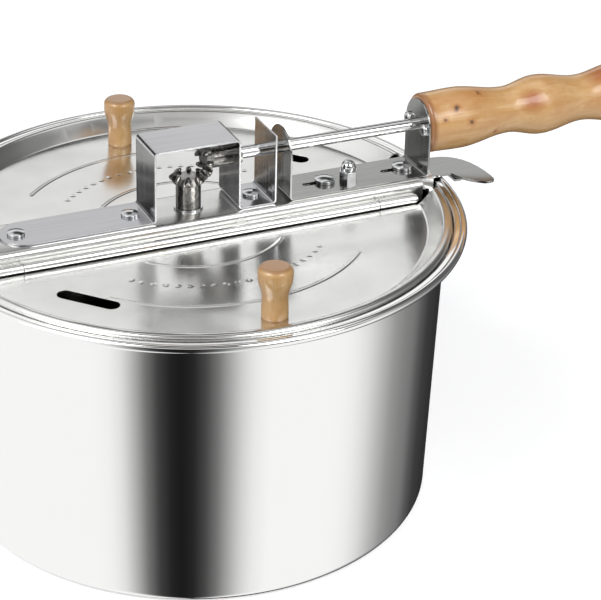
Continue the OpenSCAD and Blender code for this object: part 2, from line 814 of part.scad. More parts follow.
// A bevel gear on the +Z axis: the point where the axes cross is the origin, the teeth
// and their cone lie inside cones from that point, and the hub runs on to z = hub_end.
// Every tooth keeps within its own cone of half angle tooth_half_angle, so two gears
// that share the point stay clear of each other all the way round.
module bevel_gear(hub_r, hub_end, bore_r, pin_z) {
    near = tooth_near;
    far = tooth_far;
    fat = tan(tooth_half_angle);
    tooth = [
        [0, near], [0.8 * near * fat, 1.03 * near], [1.2 * near * fat, 1.2 * near],
        [0.9 * far * fat, 0.9 * far], [0.89 * far * fat, 0.96 * far], [0.5 * far * fat, far],
        [0, 1.01 * far]
    ];
    difference() {
        union() {
            translate([0, 0, gear_front])
                cylinder(h = gear_back - gear_front, r1 = gear_front_r, r2 = gear_back_r);
            translate([0, 0, gear_back]) cylinder(h = 1.2, r1 = gear_back_r, r2 = hub_r);
            translate([0, 0, gear_back]) cylinder(h = hub_end - gear_back, r = hub_r);
            for (i = [0:gear_teeth - 1])
                rotate([0, 0, 2 * half_tooth * i]) rotate([0, tooth_lean, 0])
                    rotate_extrude($fn = 60) polygon(tooth);
        }
        translate([0, 0, gear_blind]) cylinder(h = hub_end, r = bore_r + fixed_fit);
        translate([0, 0, pin_z]) bar_x(-hub_r - past, hub_r + past, gear_pin_r + fixed_fit);
    }
}

module drive_gear() {
    color("darkgray") on_lid() translate([stirrer_x, 0, axis_z])
        rotate([0, 90, 0]) bevel_gear(drive_hub_r, drive_hub_end, rod_r, drive_pin_at);
}

module stirrer_gear() {
    color("darkgray") on_lid() translate([stirrer_x, 0, axis_z]) rotate([180, 0, half_tooth])
        bevel_gear(stirrer_hub_r, stirrer_hub_end, shaft_r, stirrer_pin_at);
}

module drive_gear_pin() {
    color("dimgray") on_lid() translate([stirrer_x + drive_pin_at, 0, axis_z - drive_hub_r])
        cylinder(h = 2 * drive_hub_r, r = gear_pin_r);
}

module stirrer_gear_pin() {
    color("dimgray") on_lid() translate([stirrer_x, 0, axis_z - stirrer_pin_at])
        rotate([0, 0, half_tooth]) bar_x(-stirrer_hub_r, stirrer_hub_r, gear_pin_r);
}

// ---- Handle and crank ----

// Turned profile of the handle as [along, radius]: bulges and waists for the fingers
function handle_profile() =
    let (
        first = handle_first_bulge,
        step = handle_pitch / 2,
        bulge = handle_bulge_r,
        waist = handle_waist_r
    )
        [
            [handle_edge_r, 0.975 * bulge], [first, bulge], [first + 1.2 * step, waist],
            [first + 2 * step, 0.98 * bulge], [first + 3 * step, waist],
            [first + 4 * step, 0.985 * bulge], [first + 5 * step, 1.03 * waist],
            [handle_l - handle_tail_r, 0.92 * bulge]
        ];

module handle_grip() {
    edge = handle_edge_r;
    end_r = 0.975 * handle_bulge_r;
    tail_r = 0.92 * handle_bulge_r - handle_tail_r;
    outline = concat(
        [[handle_bore_r, 0]],
        arc([end_r - edge, edge], edge, -90, -30, 2),
        [for (p = turned(handle_profile(), 6)) [p[1], p[0]]],
        arc([tail_r, handle_l - handle_tail_r], handle_tail_r, 0, 90, 6),
        [[handle_bore_r, handle_l]]
    );
    color("peru") on_lid() translate([flange_out_x, 0, axis_z]) rotate([0, 90, 0]) difference() {
        rotate_extrude($fn = 72) polygon(outline);
        for (side = [-1, 1])
            translate([0, side * handle_screw_y, -past])
                cylinder(h = handle_screw_l + past, r = handle_screw_r + fixed_fit);
    }
}

module handle_end_washer() {
    color("silver") on_lid() translate([0, 0, axis_z]) difference() {
        bar_x(handle_end_x, handle_end_x + washer_t, washer_r);
        bar_x(handle_end_x - past, handle_end_x + washer_t + past, rod_r + run_fit);
    }
}

// A quarter bend of the rod in the X-Z plane, about [x, z], from angle a0 on
module rod_bend(x, z, a0) {
    translate([x, 0, z]) rotate([90, 0, 0]) rotate([0, 0, a0])
        rotate_extrude(angle = 90) translate([crank_bend_r, 0]) circle(r = rod_r);
}

module crank_rod() {
    b = crank_bend_r;
    color("silver") on_lid() translate([0, 0, axis_z]) difference() {
        union() {
            bar_x(rod_start, arm_x - b, rod_r);
            rod_bend(arm_x - b, -b, 0);
            translate([arm_x, 0, b - crank_throw]) cylinder(h = crank_throw - 2 * b, r = rod_r);
            rod_bend(arm_x + b, b - crank_throw, 180);
            translate([0, 0, -crank_throw]) bar_x(arm_x + b, spindle_end, rod_r);
        }
        translate([stirrer_x + drive_pin_at, 0, -rod_r - past])
            cylinder(h = 2 * (rod_r + past), r = gear_pin_r + fixed_fit);
    }
}

// Turned profile of the crank knob as [along, radius]
function crank_knob_profile() =
    let (l = crank_knob_l, r = crank_knob_r)
        [[0.05 * l, 0.82 * r], [0.3 * l, 0.78 * r], [0.7 * l, r], [0.78 * l, r]];

module crank_knob() {
    l = crank_knob_l;
    r = crank_knob_r;
    bore = rod_r + run_fit;
    widest = 0.78 * l;
    edge = 0.45 * r;
    outline = concat(
        [[bore, 0], [0.72 * r, 0], [0.8 * r, 0.08 * r]],
        [for (p = turned(crank_knob_profile(), 5)) [p[1], p[0]]],
        arc([r - edge, widest], edge, 0, 75, 5),
        [[bore, l]]
    );
    color("burlywood") on_lid() translate([knob_x, 0, axis_z - crank_throw])
        rotate([0, 90, 0]) rotate_extrude() polygon(outline);
}

module crank_knob_cap() {
    x0 = knob_x + crank_knob_l + slide_gap;
    color("silver") on_lid() translate([0, 0, axis_z - crank_throw]) difference() {
        translate([x0, 0, 0]) rotate([0, 90, 0]) dome(cap_r, cap_h);
        bar_x(x0 - past, spindle_end + slide_gap, rod_r + fixed_fit);
    }
}

// ---- Stirrer ----

module stirrer_bush() {
    color("goldenrod") on_lid() translate([stirrer_x, 0, 0]) difference() {
        union() {
            translate([0, 0, bar_under - bush_depth]) cylinder(h = bar_t + bush_depth, r = bush_r);
            translate([0, 0, bar_under - bush_flange_t]) cylinder(h = bush_flange_t, r = bush_flange_r);
        }
        translate([0, 0, bar_under - bush_depth - past])
            cylinder(h = bar_t + bush_depth + 2 * past, r = shaft_r + run_fit);
    }
}

module thrust_washer() {
    color("silver") on_lid() translate([stirrer_x, 0, bar_top]) difference() {
        cylinder(h = bracket_t, r = stirrer_hub_r + washer_t);
        translate([0, 0, -past]) cylinder(h = bracket_t + 2 * past, r = shaft_r + run_fit);
    }
}

module shaft_clip() {
    mouth = 0.7 * shaft_r;
    color("dimgray") on_lid() translate([stirrer_x, 0, bar_under - bush_depth - slide_gap - clip_t])
        difference() {
            cylinder(h = clip_t, r = clip_r);
            translate([0, 0, -past]) cylinder(h = clip_t + 2 * past, r = shaft_r + fixed_fit);
            translate([0, -mouth, -past]) cube([clip_r + past, 2 * mouth, clip_t + 2 * past]);
        }
}

module stirrer_shaft() {
    foot = hub_foot + hub_floor_t;
    color("silver") difference() {
        translate([stirrer_x, 0, foot]) cylinder(h = shaft_top - foot, r = shaft_r);
        translate([stirrer_x, 0, lid_z + axis_z - stirrer_pin_at]) rotate([0, 0, half_tooth])
            bar_x(-shaft_r - past, shaft_r + past, gear_pin_r + fixed_fit);
        arm_pin_hole();
    }
}

// Where the pin of the arms' hub goes
module arm_pin_hole() {
    translate([stirrer_x, 0, arm_pin_z]) rotate([0, 0, 90])
        bar_x(-arm_hub_r - past, arm_hub_r + past, gear_pin_r + fixed_fit);
}

module stirrer_arms() {
    bend = arm_bend_r;
    straight = sweep_r - wire_r - bend;
    color("silver") difference() {
        translate([stirrer_x, 0, 0]) {
            translate([0, 0, hub_foot]) cylinder(h = arm_hub_h, r = arm_hub_r);
            for (turn = [0, 180])
                rotate([0, 0, turn]) {
                    translate([0, 0, arm_z]) bar_x(arm_hub_r - hub_floor_t, straight, wire_r);
                    translate([straight, 0, arm_z + bend]) rotate([90, 0, 0]) rotate([0, 0, -90])
                        rotate_extrude(angle = 90) translate([bend, 0]) circle(r = wire_r);
                    translate([sweep_r - wire_r, 0, arm_z + bend])
                        cylinder(h = arm_tip_h - bend, r = wire_r);
                }
        }
        translate([stirrer_x, 0, hub_foot + hub_floor_t - slide_gap])
            cylinder(h = arm_hub_h + past, r = shaft_r + fixed_fit);
        arm_pin_hole();
    }
}

module arm_hub_pin() {
    color("dimgray") translate([stirrer_x, 0, arm_pin_z]) rotate([0, 0, 90])
        bar_x(-arm_hub_r, arm_hub_r, gear_pin_r);
}

pot();
crossbar();
front_lid();
back_lid();
hinge_pin(-1);  // front_hinge_pin
hinge_pin(1);  // back_hinge_pin
front_lid_knob();
back_lid_knob();
front_knob_screw();
back_knob_screw();
gear_bracket();
handle_bracket();
bracket_rivets();
acorn_nut();
nut_stud();
latch_lever();
latch_buttons();
handle_grip();
handle_screws();
handle_end_washer();
crank_rod();
crank_knob();
crank_knob_cap();
drive_gear();
drive_gear_pin();
stirrer_gear();
stirrer_gear_pin();
stirrer_bush();
thrust_washer();
shaft_clip();
stirrer_shaft();
stirrer_arms();
arm_hub_pin();
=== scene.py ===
# %% [markdown]
# # A stovetop popcorn maker
# The imported model is the frame: every piece below is placed by it, in metres, with the
# pot's base centre at the origin, +X towards the handle and +Z up. The pot and the
# turned wood are worked out as surfaces with numpy, so that their polish can mirror
# the studio without facets. The other pieces, the lids and crossbar among them, keep the
# frame's shape and get the thin rounded edges that real ones have.

# %% Load the frame
import json

import bmesh
import bpy
import numpy as np
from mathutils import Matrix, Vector


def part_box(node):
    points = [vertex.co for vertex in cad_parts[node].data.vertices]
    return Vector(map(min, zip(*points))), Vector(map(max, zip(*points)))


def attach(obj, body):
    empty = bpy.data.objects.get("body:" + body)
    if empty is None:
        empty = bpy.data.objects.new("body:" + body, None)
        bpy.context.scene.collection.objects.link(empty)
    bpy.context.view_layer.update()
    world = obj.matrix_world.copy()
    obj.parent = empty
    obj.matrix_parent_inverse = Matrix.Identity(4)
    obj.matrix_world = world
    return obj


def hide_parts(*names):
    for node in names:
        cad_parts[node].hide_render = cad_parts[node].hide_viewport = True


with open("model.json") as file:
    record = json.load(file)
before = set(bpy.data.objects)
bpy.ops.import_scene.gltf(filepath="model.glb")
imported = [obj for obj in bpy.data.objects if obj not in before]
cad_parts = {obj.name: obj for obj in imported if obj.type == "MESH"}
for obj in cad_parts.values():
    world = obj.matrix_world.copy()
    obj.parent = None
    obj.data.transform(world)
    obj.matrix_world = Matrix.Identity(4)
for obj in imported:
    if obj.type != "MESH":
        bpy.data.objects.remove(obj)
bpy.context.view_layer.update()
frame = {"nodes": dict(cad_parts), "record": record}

MM = 0.001
nodes = frame["nodes"]


# %% [markdown]
# ## Sizes that the surfaces share
# The frame gives each node's box. What the boxes can't say, such as the depth of a ledge,
# is named here once, in millimetres, as on the maker's drawing.

# %% Sizes in millimetres
def low(node):
    """Lowest corner of a node's box in millimetres."""
    return np.array(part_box(node)[0]) / MM


def high(node):
    """Highest corner of a node's box in millimetres."""
    return np.array(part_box(node)[1]) / MM


POT_H = high("pot")[2]
BEAD_OUT = high("pot")[0]
LID_Z = high("front_lid")[2]
AXIS_Z = (low("handle_grip")[2] + high("handle_grip")[2]) / 2
HANDLE_X0, HANDLE_X1 = low("handle_grip")[0], high("handle_grip")[0]
HINGE_Y = (low("back_hinge_pin")[1] + high("back_hinge_pin")[1]) / 2
KNOB_TOP = high("front_lid_knob")[2]
print("pot height %.1f, lid crown %.1f, crank axis %.1f" % (POT_H, LID_Z, AXIS_Z))


# %% [markdown]
# ## Helpers for curves
# A bent sheet is drawn by its middle line. Two copies of that line, moved half a thickness
# to either side, close into the sheet's section.

# %% Curves
def arc(cx, cy, r, a0, a1, n):
    """n + 1 points of a circle about (cx, cy): centre plus r times (cos a, sin a)."""
    a = np.radians(np.linspace(a0, a1, n + 1))
    return np.stack([cx + r * np.cos(a), cy + r * np.sin(a)], 1)


def sheet_outline(path, t):
    """Closed section of a sheet: the path moved by +t/2 and -t/2 along its normals.
    The normal at a point is the mean of its two neighbours' normals, stretched so
    that the thickness stays t in a corner."""
    step = np.diff(path, axis=0)
    step = step / np.linalg.norm(step, axis=1)[:, None]
    normal = np.stack([-step[:, 1], step[:, 0]], 1)
    before = np.vstack([normal[:1], normal])
    after = np.vstack([normal, normal[-1:]])
    mid = before + after
    mid = mid / np.linalg.norm(mid, axis=1)[:, None]
    mid = mid / (mid * before).sum(1)[:, None]
    return np.vstack([path + mid * t / 2, (path - mid * t / 2)[::-1]])


def eased(points, n):
    """A turned profile through (along, radius) points, level at each of them: between
    two points the radius follows half a cosine wave."""
    rows = []
    for (x0, r0), (x1, r1) in zip(points[:-1], points[1:]):
        t = np.linspace(0, 1, n, endpoint=False)
        rows.append(np.stack([x0 + (x1 - x0) * t, r0 + (r1 - r0) * (1 - np.cos(np.pi * t)) / 2], 1))
    return np.vstack(rows + [np.array([points[-1]], float)])


quarter = sheet_outline(arc(0, 0, 5, 0, 90, 8), 1.0)
print("a 1 mm sheet's quarter bend has", len(quarter), "points, up to", quarter.max(), "mm out")


# %% [markdown]
# ## From a grid of points to a mesh
# A surface is a grid of points P[i, j]. Neighbouring points make a square face. A grid can
# close on itself either way, like a ring. Doubles are merged afterwards, which closes poles.

# %% Grids
def mesh_from_grid(name, grid, close_i=False, close_j=False):
    """A mesh with one square face between each four neighbours of grid[i, j], given in
    millimetres. The uv map holds i and j as shares of 1."""
    ni, nj = grid.shape[:2]
    i = np.arange(ni if close_i else ni - 1)
    j = np.arange(nj if close_j else nj - 1)
    ii, jj = [a.ravel() for a in np.meshgrid(i, j, indexing="ij")]
    i2, j2 = (ii + 1) % ni, (jj + 1) % nj
    faces = np.stack([ii * nj + jj, i2 * nj + jj, i2 * nj + j2, ii * nj + j2], 1)
    mesh = bpy.data.meshes.new(name)
    mesh.from_pydata((grid.reshape(-1, 3) * MM).tolist(), [], faces.tolist())
    uv = mesh.uv_layers.new(name="sheet")
    shares = np.stack([ii / ni, jj / nj, (ii + 1) / ni, jj / nj,
                       (ii + 1) / ni, (jj + 1) / nj, ii / ni, (jj + 1) / nj], 1).reshape(-1, 2)
    uv.data.foreach_set("uv", shares.astype(np.float32).ravel())
    return mesh


def finish_mesh(mesh, name, sharp=35.0, merge=2e-6):
    """Merges doubles, points the faces outwards, and shades smooth up to the given angle."""
    bm = bmesh.new()
    bm.from_mesh(mesh)
    bmesh.ops.remove_doubles(bm, verts=bm.verts, dist=merge)
    bmesh.ops.dissolve_degenerate(bm, edges=bm.edges, dist=merge)
    bmesh.ops.recalc_face_normals(bm, faces=bm.faces)
    bm.to_mesh(mesh)
    bm.free()
    mesh.shade_smooth()
    mesh.set_sharp_from_angle(angle=np.radians(sharp))
    piece = bpy.data.objects.new(name, mesh)
    bpy.context.scene.collection.objects.link(piece)
    return piece


def revolve(name, profile, n=192, axis="z", centre=(0, 0, 0), closed=True):
    """A turned piece: point (r, h) of the profile goes to angle a at
    centre + (r cos a, r sin a, h) about the z axis, or (h, r cos a, r sin a) about x."""
    a = np.linspace(0, 2 * np.pi, n, endpoint=False)[:, None]
    r, h = profile[:, 0][None], profile[:, 1][None]
    around, up, along = r * np.cos(a), r * np.sin(a), h + 0 * a
    order = [around, up, along] if axis == "z" else [along, around, up]
    grid = np.stack(order, 2) + np.array(centre)
    return mesh_from_grid(name, grid, close_i=True, close_j=closed)


# %% [markdown]
# ## Helpers for finishes
# Colours are written as they look, in sRGB hex, and turned to the linear light that the
# renderer works in. One function adds a shader node with its settings and links. Every
# finish is a few patterns of noise, each as wide as a real size in millimetres.

# %% Colour and nodes
def rgb(hex_colour):
    """sRGB hex to linear: c / 12.92 below 0.04045, else ((c + 0.055) / 1.055) ** 2.4."""
    c = np.array([int(hex_colour[k:k + 2], 16) for k in (1, 3, 5)]) / 255
    linear = np.where(c < 0.04045, c / 12.92, ((c + 0.055) / 1.055) ** 2.4)
    return (*linear.tolist(), 1.0)


def add(tree, kind, inputs=None, stops=(), **settings):
    """Adds a node of a kind, sets its settings, and sets or links its inputs. A node given
    as an input stands for the first of its outputs that is in use. The stops of a colour
    ramp are (place, sRGB hex). A colour mix has its share at input 0 and its two colours
    at 6 and 7."""
    made = tree.nodes.new(kind)
    for key, value in settings.items():
        setattr(made, key, value)
    for key, value in (inputs or {}).items():
        if isinstance(value, bpy.types.Node):
            value = next(output for output in value.outputs if output.enabled)
        if isinstance(value, bpy.types.NodeSocket):
            tree.links.new(value, made.inputs[key])
        else:
            made.inputs[key].default_value = value
    for _ in stops[2:]:
        made.color_ramp.elements.new(0.5)
    for number, (place, colour) in enumerate(stops):
        made.color_ramp.elements[number].position = place
        made.color_ramp.elements[number].color = rgb(colour)
    return made


def ranges(from_low, from_high, to_low, to_high):
    """The inputs with which a Map Range node takes one range to another."""
    return {"From Min": from_low, "From Max": from_high, "To Min": to_low, "To Max": to_high}


def new_material(name):
    """An empty node material, its tree, and the Object coordinates: metres in the row
    frame, the same for every piece."""
    material = bpy.data.materials.new(name)
    material.use_nodes = True
    tree = material.node_tree
    tree.nodes.clear()
    return material, tree, add(tree, "ShaderNodeTexCoord").outputs["Object"]


def with_shader(material, inputs):
    """Gives a material its shader with the given inputs, which ends it."""
    tree = material.node_tree
    shader = add(tree, "ShaderNodeBsdfPrincipled", inputs)
    add(tree, "ShaderNodeOutputMaterial", {"Surface": shader})
    return material


def pattern(tree, vector, size_mm, detail=3.0, rough=0.5, stretch=(1, 1, 1)):
    """Soft blotches size_mm across, stretched by the given factors, with values that lie
    mostly between 0.3 and 0.7."""
    scale = tuple(1 / (size_mm * MM) / s for s in stretch)
    mapped = add(tree, "ShaderNodeMapping", {"Vector": vector, "Scale": scale})
    return add(tree, "ShaderNodeTexNoise", {
        "Vector": mapped, "Scale": 1.0, "Detail": detail, "Roughness": rough,
    })


print("mid grey #808080 is %.3f in linear light" % rgb("#808080")[0])


# %% [markdown]
# ## Polished, drawn and brushed steel
# All of the sheet is stainless steel. What changes from piece to piece is the last step of
# its making. The pot was spun against a polishing wheel, which leaves a mirror with very
# fine rings.

# %% Spun steel
def spun_mirror_steel(name):
    """Spun and buffed stainless: rings about the z axis, too fine to count (0.3 mm). The
    rings are noise along the sum of height and distance from the axis."""
    material, tree, point = new_material(name)
    xyz = add(tree, "ShaderNodeSeparateXYZ", {"Vector": point}).outputs
    flat = add(tree, "ShaderNodeCombineXYZ", {"X": xyz["X"], "Y": xyz["Y"]})
    radius = add(tree, "ShaderNodeVectorMath", {0: flat}, operation="LENGTH")
    path = add(tree, "ShaderNodeMath", {0: radius, 1: xyz["Z"]}, operation="ADD")
    along = add(tree, "ShaderNodeCombineXYZ", {"Z": path})
    fine = pattern(tree, along, 0.3, detail=2.0)
    broad = pattern(tree, along, 9.0, detail=2.0)
    smudge = pattern(tree, point, 28.0, detail=4.0)
    rough = add(tree, "ShaderNodeMapRange", {"Value": smudge, **ranges(0.3, 0.7, 0.05, 0.085)})
    rings = add(tree, "ShaderNodeBump", {"Height": fine, "Distance": 0.0004 * MM})
    rings = add(tree, "ShaderNodeBump", {"Height": broad, "Distance": 0.004 * MM, "Normal": rings})
    return with_shader(material, {
        "Metallic": 1.0, "Base Color": rgb("#F5F5F4"), "Roughness": rough, "Normal": rings,
    })


# %% [markdown]
# ## Pressed sheet
# The lids are bright rolled sheet that presses slightly wavy. A press also gives each lid
# a plain relief that keeps the thin panel stiff. It is far thinner than the sheet, so it
# lives in the finish: a height worked out from the distance to the pot's axis.

# %% Pressed relief
RELIEF_ARCS = (46.0, 84.0)      # radii of the two raised arcs in a half lid
ARC_SLOPE = (0.3, 1.3)          # an arc falls from its crest to nothing at these distances
RELIEF_HALF_ANGLE = 0.82        # how far the relief reaches to either side, in radians
RELIEF_PITCH = 5.5              # from bump to bump
BUMP_SLOPE = (0.1, 0.32)        # a bump falls to nothing at these shares of the pitch
BUMP_HEIGHT = 0.5               # as a share of the arcs' height
RELIEF_HEIGHT = 0.3             # of the arcs


def pressed_relief(tree, x, y):
    """Height of the stiffening relief in a half lid: two raised arcs about the pot's axis
    and a row of round bumps between them. With rho the distance from the axis and
    a = atan2(x, |y|), the bump's number is a times the middle radius over the pitch, and
    the fraction of that is the place within the bump."""
    y = add(tree, "ShaderNodeMath", {0: y}, operation="ABSOLUTE")
    square = add(tree, "ShaderNodeMath", {0: y, 1: y}, operation="MULTIPLY")
    square = add(tree, "ShaderNodeMath", {0: x, 1: x, 2: square}, operation="MULTIPLY_ADD")
    rho = add(tree, "ShaderNodeMath", {0: square}, operation="SQRT")
    turned = add(tree, "ShaderNodeMath", {0: x, 1: y}, operation="ARCTAN2")

    reach = add(tree, "ShaderNodeMath", {0: turned}, operation="ABSOLUTE")
    sides = ranges(RELIEF_HALF_ANGLE, RELIEF_HALF_ANGLE + 0.02, 1.0, 0.0)
    inside = add(tree, "ShaderNodeMapRange", {"Value": reach, **sides})

    height = 0.0
    slope = ranges(ARC_SLOPE[0] * MM, ARC_SLOPE[1] * MM, 1.0, 0.0)
    for r in RELIEF_ARCS:
        off = add(tree, "ShaderNodeMath", {0: rho, 1: r * MM}, operation="SUBTRACT")
        off = add(tree, "ShaderNodeMath", {0: off}, operation="ABSOLUTE")
        crest = add(tree, "ShaderNodeMapRange", {"Value": off, **slope})
        height = add(tree, "ShaderNodeMath", {0: height, 1: crest}, operation="ADD")

    middle, pitch = sum(RELIEF_ARCS) / 2, RELIEF_PITCH * MM
    number = add(tree, "ShaderNodeMath", {0: turned, 1: middle / RELIEF_PITCH}, operation="MULTIPLY")
    along = add(tree, "ShaderNodeMath", {0: number}, operation="FRACT")
    along = add(tree, "ShaderNodeMath", {0: along, 1: 0.5}, operation="SUBTRACT")
    along = add(tree, "ShaderNodeMath", {0: along, 1: pitch}, operation="MULTIPLY")
    up = add(tree, "ShaderNodeMath", {0: rho, 1: middle * MM}, operation="SUBTRACT")
    square = add(tree, "ShaderNodeMath", {0: up, 1: up}, operation="MULTIPLY")
    square = add(tree, "ShaderNodeMath", {0: along, 1: along, 2: square}, operation="MULTIPLY_ADD")
    off = add(tree, "ShaderNodeMath", {0: square}, operation="SQRT")
    slope = ranges(BUMP_SLOPE[0] * pitch, BUMP_SLOPE[1] * pitch, BUMP_HEIGHT, 0.0)
    bumps = add(tree, "ShaderNodeMapRange", {"Value": off, **slope})

    height = add(tree, "ShaderNodeMath", {0: height, 1: bumps}, operation="ADD")
    return add(tree, "ShaderNodeMath", {0: height, 1: inside}, operation="MULTIPLY")


# %% [markdown]
# Where a lid curls into its knuckle, the shade in the gap under the curl is painted into
# the lid's colour as a thin dark line. It follows the knuckle, so it too is worked out from the place
# on the lid.

# %% Rolled and pressed steel
# Painted shade in the crease under each knuckle: its place, its heights, its edge, and how dark it is.
CREASE_Y = HINGE_Y + 2.35               # where a lid curls into its knuckle
CREASE_Z = (LID_Z - 6.6, LID_Z - 6.1)   # painted shade below, none above
CREASE_SLOPE = (0.4, 0.8)               # its edge, from its middle line
CREASE_SHADE = 0.96


def painted_crease_shade(tree, y, z):
    """Share of painted shade along the crease: the darkest share where |y| is CREASE_Y, below CREASE_Z,
    and 0 elsewhere.
    """
    off = add(tree, "ShaderNodeMath", {0: y}, operation="ABSOLUTE")
    off = add(tree, "ShaderNodeMath", {0: off, 1: CREASE_Y * MM}, operation="SUBTRACT")
    off = add(tree, "ShaderNodeMath", {0: off}, operation="ABSOLUTE")
    slope = ranges(CREASE_SLOPE[0] * MM, CREASE_SLOPE[1] * MM, CREASE_SHADE, 0.0)
    line = add(tree, "ShaderNodeMapRange", {"Value": off, **slope})
    slope = ranges(CREASE_Z[0] * MM, CREASE_Z[1] * MM, 1.0, 0.0)
    below = add(tree, "ShaderNodeMapRange", {"Value": z, **slope})
    return add(tree, "ShaderNodeMath", {0: line, 1: below}, operation="MULTIPLY")


def bright_rolled_steel(name, colour, rough, wave_mm, line_mm, lid=False):
    """Bright rolled sheet: fine rolling lines along X every 0.5 mm and slow waves of
    about 35 mm, where the press pulled the thin sheet. Handling leaves smudges of 18 mm
    that make it a little duller. A lid also has the pressed relief and painted shade in
    the crease where it curls into its knuckle."""
    material, tree, point = new_material(name)
    lines = pattern(tree, point, 0.5, detail=2.0, stretch=(60, 1, 60))
    waves = pattern(tree, point, 35.0, detail=1.5, rough=0.4)
    smudge = pattern(tree, point, 18.0, detail=5.0)
    dull = add(tree, "ShaderNodeMapRange", {"Value": smudge, **ranges(0.3, 0.7, *rough)})
    skin = add(tree, "ShaderNodeBump", {"Height": lines, "Distance": line_mm * MM})
    skin = add(tree, "ShaderNodeBump", {"Height": waves, "Distance": wave_mm * MM, "Normal": skin})
    tone = rgb(colour)
    if lid:
        xyz = add(tree, "ShaderNodeSeparateXYZ", {"Vector": point}).outputs
        # Painted shade: the lid's colour goes to near black along the crease.
        painted_shade = {0: painted_crease_shade(tree, xyz["Y"], xyz["Z"]), 6: tone, 7: rgb("#0C0C0C")}
        tone = add(tree, "ShaderNodeMix", painted_shade, data_type="RGBA")
        relief = pressed_relief(tree, xyz["X"], xyz["Y"])
        pressed = {"Height": relief, "Distance": RELIEF_HEIGHT * MM, "Normal": skin}
        skin = add(tree, "ShaderNodeBump", pressed)
    return with_shader(material, {
        "Metallic": 1.0, "Base Color": tone, "Roughness": dull, "Normal": skin,
    })


# %% [markdown]
# ## Brushed, plated and cast metal
# The brackets were brushed along their length before bending. Rivets and screws are
# plated, the rod is bright drawn bar, and the gears are small die castings.

# %% Brushed, plated and cast metal
def brushed_steel(name, colour, under, rough=(0.13, 0.19)):
    """Belt-brushed sheet: scratches 0.25 mm apart that run along the strip, so they are
    stretched along X and Z and fine across Y. The colour goes from under to colour in
    streaks of 1.6 mm."""
    material, tree, point = new_material(name)
    scratches = pattern(tree, point, 0.25, detail=3.0, stretch=(90, 1, 90))
    streaks = pattern(tree, point, 1.6, detail=2.0, stretch=(30, 1, 30))
    tone = add(tree, "ShaderNodeValToRGB", {"Fac": streaks}, stops=[(0.25, under), (0.75, colour)])
    dull = add(tree, "ShaderNodeMapRange", {"Value": streaks, **ranges(0.3, 0.7, *rough)})
    skin = add(tree, "ShaderNodeBump", {"Height": scratches, "Distance": 0.0006 * MM})
    return with_shader(material, {
        "Metallic": 1.0, "Base Color": tone, "Roughness": dull, "Anisotropic": 0.2, "Normal": skin,
    })


def plated(name, colour="#D9DADB", rough=(0.07, 0.13)):
    """Plate or drawn bar on small turned pieces: bright, with faint cloudy patches 3 mm
    across and a skin that is uneven every millimetre."""
    material, tree, point = new_material(name)
    cloud = pattern(tree, point, 3.0, detail=4.0)
    uneven = pattern(tree, point, 1.1)
    tone = add(tree, "ShaderNodeValToRGB", {"Fac": cloud}, stops=[(0.3, colour), (0.7, "#C9CACB")])
    dull = add(tree, "ShaderNodeMapRange", {"Value": cloud, **ranges(0.3, 0.7, *rough)})
    skin = add(tree, "ShaderNodeBump", {"Height": uneven, "Distance": 0.004 * MM})
    return with_shader(material, {
        "Metallic": 1.0, "Base Color": tone, "Roughness": dull, "Normal": skin,
    })


def polished_casting(name):
    """A tumbled die casting: dark bright metal with the soft skin and pits of the mould."""
    material, tree, point = new_material(name)
    mould = pattern(tree, point, 1.4, detail=4.0, rough=0.6)
    pits = pattern(tree, point, 0.35, detail=2.0)
    tone = add(tree, "ShaderNodeValToRGB", {"Fac": mould}, stops=[(0.3, "#7C7A76"), (0.7, "#AAA8A4")])
    dull = add(tree, "ShaderNodeMapRange", {"Value": mould, **ranges(0.3, 0.7, 0.14, 0.26)})
    skin = add(tree, "ShaderNodeBump", {"Height": mould, "Distance": 0.03 * MM})
    skin = add(tree, "ShaderNodeBump", {"Height": pits, "Distance": 0.006 * MM, "Normal": skin})
    return with_shader(material, {
        "Metallic": 1.0, "Base Color": tone, "Roughness": dull, "Normal": skin,
    })


# %% [markdown]
# ## Turned wood
# The handle is turned from a pale close-grained hardwood such as beech or rubberwood and
# dipped in clear varnish. Cut lengthwise, its rings make soft streaks along the handle.
# Short pores lie along them, small knots are left in, and end grain drinks more varnish
# and turns darker. The varnish is a clear coat over the wood.

# %% Wood finish
KNOT_BROWN, FLAME_RED, END_GRAIN = "#4E2F14", "#A04E16", {0: "#8F5A2B", 2: "#98714C"}


def spot(tree, point, where_mm, size_mm, ragged):
    """1 at a point, falling to 0 at size_mm from it, with a ragged edge."""
    size = size_mm * MM
    places = {0: point, 1: tuple(w * MM for w in where_mm)}
    away = add(tree, "ShaderNodeVectorMath", places, operation="DISTANCE")
    edge = ranges(0.3, 0.7, -0.2 * size, 0.2 * size)
    torn = add(tree, "ShaderNodeMapRange", {"Value": ragged, **edge})
    away = add(tree, "ShaderNodeMath", {0: torn, 1: away}, operation="ADD")
    return add(tree, "ShaderNodeMapRange", {"Value": away, **ranges(0.15 * size, size, 1.0, 0.0)})


